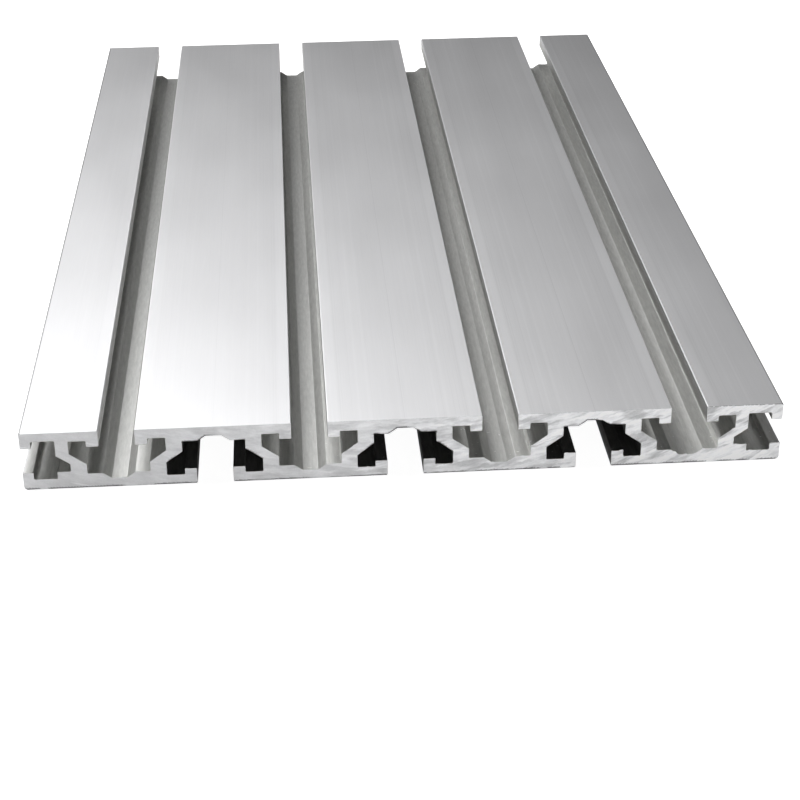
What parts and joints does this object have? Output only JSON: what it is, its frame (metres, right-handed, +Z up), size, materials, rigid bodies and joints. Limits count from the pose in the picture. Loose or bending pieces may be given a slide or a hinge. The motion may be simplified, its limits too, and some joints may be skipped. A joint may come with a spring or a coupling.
{
  "type": "aluminium extrusion profile",
  "caption": "Flat slotted aluminium plate profile: one length of extruded stock with T-slots in both faces and along both long sides, sawn square at the ends.",
  "frame": {"origin": "middle of the underside, where the four feet stand", "axes": "+X across the width, +Y along the length, +Z up out of the top face"},
  "size_m": [0.18, 0.3, 0.015],
  "materials": {
    "mill_aluminium": "satin"
  },
  "bodies": {
    "root": {"extrusion_profile": "mill_aluminium"}
  },
  "joints": []
}
